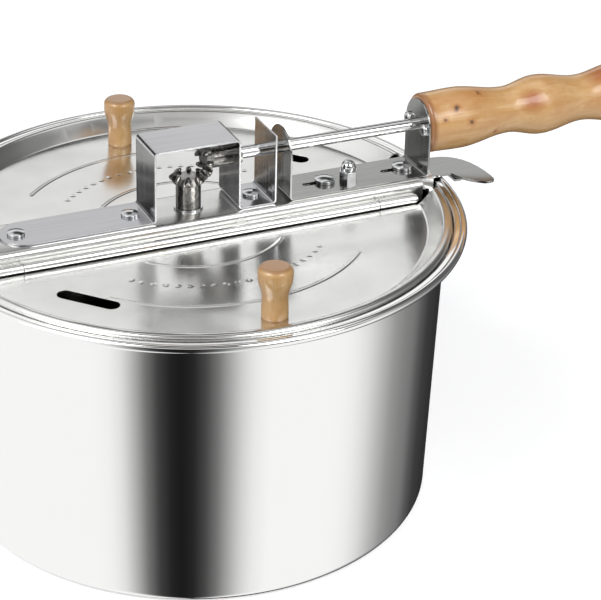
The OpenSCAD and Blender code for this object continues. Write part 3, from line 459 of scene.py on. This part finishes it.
def varnished_wood(name, along, tones, knots=(), flames=(), ends=()):
    """Streaks 3 mm wide and clouds of 15 mm, both stretched along the grain: along is 0
    for X or 2 for Z. tones are light, middle, dark and blush. knots and flames are
    (place, size) in mm: dark spots and reddish patches. ends are (from, to) along the
    grain, where the wood goes from its own colour to that of end grain."""
    light, mid, dark, blush = tones
    material, tree, point = new_material(name)

    def grain(size_mm, long, detail=3.0, rough=0.5):
        stretch = [1.0] * 3
        stretch[along] = long
        return pattern(tree, point, size_mm, detail=detail, rough=rough, stretch=tuple(stretch))

    streaks = grain(3.2, 11, 2.0)
    cloud = grain(15.0, 2.2)
    fibres = grain(0.5, 45, 4.0, 0.65)
    ragged = pattern(tree, point, 1.6, detail=2.0)

    # Layers of tone over the streaks, in their order: a pattern, the values between which
    # the layer comes in, its share where it is full, and its tone.
    layers = [
        (cloud, 0.46, 0.68, 0.7, blush), (grain(11.0, 1.8), 0.5, 0.7, 0.6, light),
        (fibres, 0.3, 0.7, 0.34, dark), (grain(0.45, 7), 0.62, 0.72, 0.4, dark),
    ]
    for where, size in flames:
        layers.append((spot(tree, point, where, size, cloud), 0.0, 1.0, 0.8, FLAME_RED))
    for where, size in knots:
        layers.append((spot(tree, point, where, 2.2 * size, ragged), 0.0, 1.0, 1.0, blush))
        layers.append((spot(tree, point, where, size, ragged), 0.0, 1.0, 1.0, KNOT_BROWN))
    lengthwise = add(tree, "ShaderNodeSeparateXYZ", {"Vector": point}).outputs[along]
    for start, stop in ends:
        layers.append((lengthwise, start * MM, stop * MM, 0.85, END_GRAIN[along]))

    stops = [(0.25, light), (0.45, mid), (0.6, mid), (0.78, dark)]
    colour = add(tree, "ShaderNodeValToRGB", {"Fac": streaks}, stops=stops)
    colour = add(tree, "ShaderNodeMix", {0: 0.4, 6: colour, 7: rgb(mid)}, data_type="RGBA")
    for value, comes_in, full, most, tone in layers:
        share = add(tree, "ShaderNodeMapRange", {"Value": value, **ranges(comes_in, full, 0.0, most)})
        colour = add(tree, "ShaderNodeMix", {0: share, 6: colour, 7: rgb(tone)}, data_type="RGBA")
    dull = add(tree, "ShaderNodeMapRange", {"Value": cloud, **ranges(0.3, 0.7, 0.34, 0.46)})
    skin = add(tree, "ShaderNodeBump", {"Height": fibres, "Distance": 0.01 * MM})
    return with_shader(material, {
        "Base Color": colour, "Roughness": dull, "Coat Weight": 0.8, "Coat Roughness": 0.13,
        "Normal": skin,
    })


# %% [markdown]
# ## One finish for each kind of piece
# The handle bracket and lever get a darker grey of the gear bracket's brushed sheet, which
# paints shade onto them. The handle's knots and reddish flames have places of their own.

# %% Make the finishes
POT_STEEL = spun_mirror_steel("spun_mirror_stainless")
LID_STEEL = bright_rolled_steel(
    "bright_rolled_stainless", "#E6E6E4", (0.17, 0.23), 0.05, 0.001, lid=True)
BAR_STEEL = bright_rolled_steel("bright_folded_stainless", "#E0E0DE", (0.22, 0.29), 0.02, 0.00015)
BRACKET_STEEL = brushed_steel("brushed_stainless", "#C4C4C5", "#B5B5B8")
# A darker copy of the same brushed sheet: painted shade on the handle bracket and lever.
SHADED_BRACKET_STEEL = brushed_steel("shaded_brushed_stainless", "#A4A4A2", "#949492")
PLATE = plated("nickel_plate")
ROD_STEEL = plated("drawn_bright_rod", "#E2E2E0", (0.05, 0.09))
CASTING = polished_casting("tumbled_die_casting")
SPRING_STEEL = brushed_steel("dark_spring_steel", "#6A6A6C", "#4E4E50", (0.3, 0.42))
BRASS = plated("turned_brass", "#D8B25E", (0.2, 0.3))

HANDLE_TONES = ("#E2C08E", "#CDA066", "#AE7A40", "#BC8146")
KNOB_TONES = ("#D6B480", "#C39A62", "#A0743F", "#B07E4A")
# Places on the handle: distance from its flange, from its middle plane and from its axis.
HANDLE_KNOTS = [((14, -11, 10), 2.2), ((21, -14.5, 3), 1.8), ((36, -11, -5), 1.3),
                ((7, -13.5, 6), 1.2), ((29, -4, 12), 2.6), ((88, 9, 10), 2.4)]
HANDLE_FLAMES = [((57, -11, 8), 8.0), ((100, -3, 13), 11.0)]


def on_handle(marks):
    """Marks at their places in the row frame."""
    return [((HANDLE_X0 + x, y, AXIS_Z + z), size) for (x, y, z), size in marks]


HANDLE_WOOD = varnished_wood(
    "varnished_handle_wood", 0, HANDLE_TONES,
    knots=on_handle(HANDLE_KNOTS), flames=on_handle(HANDLE_FLAMES),
    ends=[(HANDLE_X0 + 3.6, HANDLE_X0 + 1.4), (HANDLE_X1 - 4, HANDLE_X1 - 1)])
KNOB_WOOD = varnished_wood(
    "varnished_knob_wood", 2, KNOB_TONES, ends=[(KNOB_TOP - 1.0, KNOB_TOP - 0.3)])
CRANK_WOOD = varnished_wood("varnished_crank_wood", 0, KNOB_TONES)
print("finishes:", len(bpy.data.materials))


# %% [markdown]
# ## Putting a piece in its place
# Each finished piece rides on a body, stands for the CAD node it dresses, and takes the
# finish it is given.

# %% Place pieces
BODY = {n: b for b, members in frame["record"]["behaviour"]["bodies"].items() for n in members}


def place(piece, node, material):
    """Gives a piece its finish and lets it stand for a CAD node."""
    piece.data.materials.clear()
    piece.data.materials.append(material)
    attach(piece, BODY[node])
    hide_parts(node)
    return piece


def dressed(node, material, edge_mm, sharp=30.0):
    """A copy of a CAD node with its triangles merged and its hard edges rounded by
    edge_mm, as tumbling and plating leave them. Edges sharper than the given angle in
    degrees count as hard."""
    mesh = nodes[node].data.copy()
    mesh.name = node + "_dressed"
    bm = bmesh.new()
    bm.from_mesh(mesh)
    bmesh.ops.remove_doubles(bm, verts=bm.verts, dist=1e-6)
    bmesh.ops.dissolve_limit(bm, angle_limit=np.radians(0.5), verts=bm.verts, edges=bm.edges)
    bm.to_mesh(mesh)
    bm.free()
    mesh.shade_smooth()
    mesh.set_sharp_from_angle(angle=np.radians(sharp))
    piece = bpy.data.objects.new(node + "_dressed", mesh)
    bpy.context.scene.collection.objects.link(piece)
    rounding = piece.modifiers.new("edges", "BEVEL")
    rounding.width = edge_mm * MM
    rounding.segments = 2
    rounding.limit_method = "ANGLE"
    rounding.angle_limit = np.radians(sharp)
    rounding.use_clamp_overlap = True
    rounding.harden_normals = True
    return place(piece, node, material)


# %% [markdown]
# ## The pot
# One sheet, drawn deep: a flat floor, a tight corner, a wall that opens slightly, a ledge
# for the lids, a collar, a flange, and a bead rolled outwards so that the rim is stiff and
# safe to hold. The section is turned once round the axis.

# %% Pot
POT_T = 1.0
WALL_TOP_R, WALL_BASE_R, CORNER_R = 121.0, 116.7, 4.0
COLLAR_R, LEDGE_DROP, FLANGE_DROP, BEAD_R = 124.5, 3.5, 0.8, 2.0
SOFT_R, CREASE_R = 2.0, 0.8     # bends from wall to ledge, and at both ends of the collar
BEAD_END = -140                 # the bead rolls on to this angle


def straight(from_point, to_point, n):
    """n points on a straight line, with both of its ends."""
    return np.linspace(from_point, to_point, n)


def pot_profile():
    """Middle line of the pot's sheet as (radius, height), from the centre of the floor."""
    half = POT_T / 2
    ledge, flange = POT_H - LEDGE_DROP - half, POT_H - FLANGE_DROP - half
    bead_x, bead_z, bead_r = BEAD_OUT - BEAD_R, POT_H - BEAD_R, BEAD_R - half
    bead_start = 180 - np.degrees(np.arcsin((flange - bead_z) / bead_r))
    wall_x, collar_x = WALL_TOP_R - half, COLLAR_R + half
    return np.vstack([
        [[0.001, half]],
        straight((8, half), (WALL_BASE_R - CORNER_R - 1, half), 14),
        arc(WALL_BASE_R - CORNER_R, CORNER_R, CORNER_R - half, -90, 0, 14),
        straight((WALL_BASE_R - half, CORNER_R), (wall_x, ledge - SOFT_R), 12)[1:-1],
        arc(wall_x + SOFT_R, ledge - SOFT_R, SOFT_R, 180, 90, 10),
        arc(collar_x - CREASE_R, ledge + CREASE_R, CREASE_R, -90, 0, 6),
        arc(collar_x + CREASE_R, flange - CREASE_R, CREASE_R, 180, 90, 6),
        arc(bead_x, bead_z, bead_r, bead_start, BEAD_END, 28),
    ])


pot_grid = revolve("pot_shell", sheet_outline(pot_profile(), POT_T), n=288)
pot = finish_mesh(pot_grid, "pot_shell", sharp=50)
place(pot, "pot", POT_STEEL)
print("pot faces:", len(pot.data.polygons))


# %% [markdown]
# ## The handle and the knobs
# Turned pieces are profiles spun round their own axis. The handle's bulges and waists
# follow each other at a finger's pitch.

# %% Turned wood
BULGE_R, WAIST_R = 15.18, 11.6
FIRST_BULGE, HALF_WAVE = 19.0, 23.25    # from the flange, and from a bulge to a waist
HANDLE_BORE, HANDLE_EDGE, HANDLE_TAIL = 3.8, 2.2, 7.0


def handle_surface():
    """The handle's profile as (radius, distance from the flange), with its bore."""
    length = HANDLE_X1 - HANDLE_X0
    start_r, end_r = 0.975 * BULGE_R, 0.92 * BULGE_R
    waves = [
        (0, BULGE_R), (1.2, WAIST_R), (2, 0.98 * BULGE_R), (3, WAIST_R), (4, 0.985 * BULGE_R),
        (5, 1.03 * WAIST_R),
    ]
    turned = eased([
        (HANDLE_EDGE, start_r), *[(FIRST_BULGE + k * HALF_WAVE, r) for k, r in waves],
        (length - HANDLE_TAIL, end_r),
    ], 16)[:, ::-1]
    return np.vstack([
        [[HANDLE_BORE, 0]], arc(start_r - HANDLE_EDGE, HANDLE_EDGE, HANDLE_EDGE, -90, -8, 8), turned,
        arc(end_r - HANDLE_TAIL, length - HANDLE_TAIL, HANDLE_TAIL, 8, 90, 10), [[HANDLE_BORE, length]],
    ])


handle_grid = revolve("handle_turned", handle_surface(), n=96, axis="x", centre=(HANDLE_X0, 0, AXIS_Z))
place(finish_mesh(handle_grid, "handle_turned"), "handle_grip", HANDLE_WOOD)

KNOB_FOOT_R = 6.1


def knob_surface(height, foot, top):
    """A lid knob's profile as (radius, height): a straight stem and a wider head with a
    flat top and a rounded edge."""
    stations = [(0.03, foot), (0.4, 0.97 * foot), (0.8, top), (0.89, top)]
    body = eased([(share * height, r) for share, r in stations], 12)
    edge = 0.11 * height
    return np.vstack([
        [[0.001, 0], [foot - 0.5, 0]], body[:, ::-1],
        arc(top - edge, height - edge, edge, 6, 90, 10), [[0.001, height]],
    ])


for name in ("front_lid_knob", "back_lid_knob"):
    middle, size = (low(name) + high(name)) / 2, high(name) - low(name)
    seat = (middle[0], middle[1], low(name)[2])
    surface = knob_surface(size[2], KNOB_FOOT_R, size[0] / 2)
    knob_grid = revolve(name + "_turned", surface, n=64, centre=seat)
    place(finish_mesh(knob_grid, name + "_turned"), name, KNOB_WOOD)
print("turned pieces: 3")

# %% [markdown]
# ## Everything else keeps the frame's shape
# Lids, crossbar, brackets, rivets, nut, screws, gears and rod are copied from the frame,
# and their edges are rounded.

# %% Dressed pieces
PLATED_PIECES = [
    "bracket_rivets", "acorn_nut", "nut_stud", "latch_buttons", "handle_screws", "front_knob_screw",
    "back_knob_screw", "handle_end_washer", "thrust_washer", "crank_knob_cap",
]
ROD_PIECES = ["crank_rod", "stirrer_shaft", "stirrer_arms", "front_hinge_pin", "back_hinge_pin"]
SPRING_PIECES = ["drive_gear_pin", "stirrer_gear_pin", "shaft_clip", "arm_hub_pin"]

# Finish, radius of the edges in millimetres, and the nodes that get both.
for material, edge_mm, names in [
    (LID_STEEL, 0.1, ["front_lid", "back_lid"]),
    (BAR_STEEL, 0.12, ["crossbar"]),
    (BRACKET_STEEL, 0.15, ["gear_bracket"]),
    (SHADED_BRACKET_STEEL, 0.15, ["handle_bracket", "latch_lever"]),
    (PLATE, 0.12, PLATED_PIECES),
    (ROD_STEEL, 0.12, ROD_PIECES),
    (CASTING, 0.12, ["drive_gear", "stirrer_gear"]),
    (SPRING_STEEL, 0.08, SPRING_PIECES),
    (BRASS, 0.12, ["stirrer_bush"]),
    (CRANK_WOOD, 0.2, ["crank_knob"]),
]:
    for name in names:
        dressed(name, material, edge_mm)
    print(material.name, "on", len(names), "dressed pieces")

# %% [markdown]
# ## The camera
# Kitchenware is shown from a little above and from a step away, so that the lid's fittings
# stand clear of each other and the pot's sides stay nearly upright. This is a pinhole
# camera: its axis meets the image at one point, and shift_x and shift_y say how far the
# middle of the frame lies from there.

# %% Camera
IMAGE_W, IMAGE_H = 601, 600
FOCAL_PX, CENTRE_PX = 2104.0, (192.6, 209.9)    # the lens, and where its axis meets the image
TURN, PITCH, DISTANCE = 21.6, 25.92, 1002.8     # degrees, degrees, millimetres
AIM_X, AIM_Z = 0.82, 142.68
SENSOR = 36.0

turn, pitch = np.radians(TURN), np.radians(PITCH)
right = np.array([np.cos(turn), -np.sin(turn), 0.0])
away = np.array([np.sin(turn), np.cos(turn), 0.0])
look = away * np.cos(pitch) + np.array([0, 0, -np.sin(pitch)])
eye = right * AIM_X + np.array([0, 0, AIM_Z]) - look * DISTANCE

camera_data = bpy.data.cameras.new("camera")
camera_data.sensor_width = SENSOR
camera_data.lens = FOCAL_PX / IMAGE_W * SENSOR
camera_data.shift_x = (IMAGE_W / 2 - CENTRE_PX[0]) / IMAGE_W
camera_data.shift_y = -(IMAGE_H / 2 - CENTRE_PX[1]) / IMAGE_W
camera_data.clip_start, camera_data.clip_end = 0.01, 50
camera = bpy.data.objects.new("camera", camera_data)
bpy.context.scene.collection.objects.link(camera)
camera.location = eye * MM
camera.rotation_euler = (np.pi / 2 - pitch, 0, -turn)
bpy.context.scene.camera = camera
print("camera at", np.round(eye, 1), "mm, looking along", np.round(look, 2))


# %% [markdown]
# ## The studio
# A white table without an edge, a white world and three soft boxes. The table takes the
# object's soft shadow. It is white to the eye by adding a little light of its own, and
# metal looks through it to the studio's lower half.

# %% Table
def table_material():
    """White to the eye, with the object's shadow kept. Polished metal looks through it
    to the studio's walls, which the world holds."""
    material = bpy.data.materials.new("studio_table")
    material.use_nodes = True
    tree = material.node_tree
    tree.nodes.clear()
    path = add(tree, "ShaderNodeLightPath")
    matte = add(tree, "ShaderNodeBsdfDiffuse", {"Color": rgb("#F2F2F2")})
    lit = add(tree, "ShaderNodeEmission", {"Color": rgb("#FFFFFF"), "Strength": 0.35})
    seen = add(tree, "ShaderNodeAddShader", {0: matte, 1: lit})
    clear = add(tree, "ShaderNodeBsdfTransparent")
    glossy = add(tree, "ShaderNodeMixShader", {
        "Fac": path.outputs["Is Glossy Ray"], 1: matte, 2: clear,
    })
    eyes = add(tree, "ShaderNodeMixShader", {
        "Fac": path.outputs["Is Camera Ray"], 1: glossy, 2: seen,
    })
    add(tree, "ShaderNodeOutputMaterial", {"Surface": eyes})
    return material


TABLE_HALF = 4000.0
sides = (-TABLE_HALF, TABLE_HALF)
corners = np.array([[[x, y, 0.0] for y in sides] for x in sides])
table = bpy.data.objects.new("table", mesh_from_grid("table", corners))
table.data.materials.append(table_material())
bpy.context.scene.collection.objects.link(table)
print("table:", 2 * TABLE_HALF * MM, "m wide")


# %% [markdown]
# Polished metal shows whatever stands around it, and a product studio has dark card,
# stands and a ceiling just out of view. The world holds them as shadows that only mirrored
# light sees: the pot's wall mirrors one as an upright dark band, and the rims and the rod
# get their lines from the others.
#
# Each shadow is a row of (degrees from +X, sRGB grey level) and the heights between which
# it comes in and goes out, as the z of the direction that metal mirrors. Shadows that lie
# over each other multiply.

# %% Shadows
SHADOWS = {
    "card in front": ([
        (-158, 255), (-150, 250), (-144, 233), (-138, 184), (-132.5, 120), (-127, 66), (-121, 37),
        (-116, 27), (-110, 40), (-104.5, 73), (-99, 119), (-93.3, 174), (-87.6, 217), (-82, 242),
        (-74, 255),
    ], None, (0.35, 0.55)),
    "card at the right": ([
        (-44, 255), (-37, 253), (-30, 246), (-22, 227), (-13.5, 193), (-4, 155), (4, 136),
        (12, 122), (19, 90), (28, 62), (45, 48), (66, 58), (80, 200), (95, 255),
    ], None, (-0.2, 0.0)),
    "card at the back": ([
        (84, 255), (102, 235), (107, 130), (111, 60), (116, 26), (120, 70), (125, 170), (140, 255),
    ], (0.0, 0.1), (0.5, 0.75)),
    "stand at the right": ([
        (-45, 255), (-20, 150), (5, 96), (25, 90), (44, 140), (56, 255),
    ], (-0.15, -0.05), (0.76, 0.86)),
    "ceiling in front": ([
        (-150, 255), (-128, 90), (-66, 70), (-40, 120), (-22, 215), (5, 255),
    ], (0.56, 0.68), (0.88, 0.96)),
    "far edge of the table": ([
        (48, 255), (58, 100), (98, 90), (112, 255),
    ], (-0.2, -0.1), (0.12, 0.3)),
    "desk": ([
        (-100, 255), (-84, 120), (-60, 60), (-45, 110), (-30, 255),
    ], (-0.02, 0.08), (0.28, 0.42)),
    "lamp rail": ([
        (30, 255), (46, 80), (78, 80), (92, 255),
    ], (0.5, 0.58), (0.78, 0.9)),
}
CEILING_COLOUR, CEILING_FROM = "#5E564E", (0.93, 0.98)
WHITE = rgb("#FFFFFF")
print("shadows in the studio:", ", ".join(SHADOWS))

# %% [markdown]
# One world can look different to different rays. The camera sees plain white, matte wood
# is lit by an even and slightly cool white, and mirrored light meets the shadows.

# %% World
world = bpy.data.worlds.new("studio")
world.use_nodes = True
bpy.context.scene.world = world
tree = world.node_tree
tree.nodes.clear()
direction = add(tree, "ShaderNodeTexCoord").outputs["Generated"]
xyz = add(tree, "ShaderNodeSeparateXYZ", {"Vector": direction}).outputs
angle = add(tree, "ShaderNodeMath", {0: xyz["Y"], 1: xyz["X"]}, operation="ARCTAN2")
turned = add(tree, "ShaderNodeMapRange", {"Value": angle, **ranges(-np.pi, np.pi, 0.0, 1.0)})


def fades(from_height, to_height):
    """0 below from_height and 1 above to_height, smooth between."""
    return add(tree, "ShaderNodeMapRange", {
        "Value": xyz["Z"], **ranges(from_height, to_height, 0.0, 1.0),
    }, interpolation_type="SMOOTHSTEP")


def shadow(stops, comes_in, goes_out):
    """A shadow round the studio: white outside its two heights."""
    greys = [((degrees + 180) / 360, "#%02X%02X%02X" % (g, g, g)) for degrees, g in stops]
    shade = add(tree, "ShaderNodeValToRGB", {"Fac": turned}, stops=greys)
    if comes_in:
        edge = {0: fades(*comes_in), 6: WHITE, 7: shade}
        shade = add(tree, "ShaderNodeMix", edge, data_type="RGBA")
    return add(tree, "ShaderNodeMix", {0: fades(*goes_out), 6: shade, 7: WHITE}, data_type="RGBA")


ceiling = {0: fades(*CEILING_FROM), 6: WHITE, 7: rgb(CEILING_COLOUR)}
seen_in_metal = add(tree, "ShaderNodeMix", ceiling, data_type="RGBA")
for stops, comes_in, goes_out in SHADOWS.values():
    both = {0: seen_in_metal, 1: shadow(stops, comes_in, goes_out)}
    seen_in_metal = add(tree, "ShaderNodeVectorMath", both, operation="MULTIPLY")

path = add(tree, "ShaderNodeLightPath")
plain = add(tree, "ShaderNodeBackground", {"Color": rgb("#F2F4F7"), "Strength": 0.55})
mirrored = add(tree, "ShaderNodeBackground", {"Color": seen_in_metal, "Strength": 1.0})
white = add(tree, "ShaderNodeBackground", {"Color": WHITE, "Strength": 1.0})
glossy = add(tree, "ShaderNodeMixShader", {
    "Fac": path.outputs["Is Glossy Ray"], 1: plain, 2: mirrored,
})
final = add(tree, "ShaderNodeMixShader", {
    "Fac": path.outputs["Is Camera Ray"], 1: glossy, 2: white,
})
add(tree, "ShaderNodeOutputWorld", {"Surface": final})
print("world nodes:", len(tree.nodes))


# %% [markdown]
# Three soft boxes stand at the left, the right and in front. Each is a square lamp turned
# to what it lights.

# %% Lamps
def soft_box(name, where, size, watts, aim):
    """A square lamp of a size in metres that looks at the aim, as a soft box on a stand."""
    lamp = bpy.data.lights.new(name, "AREA")
    lamp.shape = "SQUARE"
    lamp.size = size
    lamp.energy = watts
    holder = bpy.data.objects.new(name, lamp)
    bpy.context.scene.collection.objects.link(holder)
    holder.location = np.array(where) * MM
    towards = np.array(aim, float) - np.array(where, float)
    holder.rotation_euler = Vector(towards.tolist()).to_track_quat("-Z", "Y").to_euler()


LID_CENTRE, HANDLE_ROOT = (0, 0, 120), (180, 0, 160)
key_at = -right * 700 - away * 500 + np.array([0, 0, 1100])
fill_at = right * 620 - away * 620 + np.array([0, 0, 1000])
soft_box("key_box", key_at, 0.7, 9, LID_CENTRE)
soft_box("fill_box", fill_at, 0.55, 5, LID_CENTRE)
soft_box("window_box", (620, -1113, 640), 0.4, 0.8, HANDLE_ROOT)

bpy.context.scene.view_settings.view_transform = "Standard"
print("lamps:", len(bpy.data.lights))
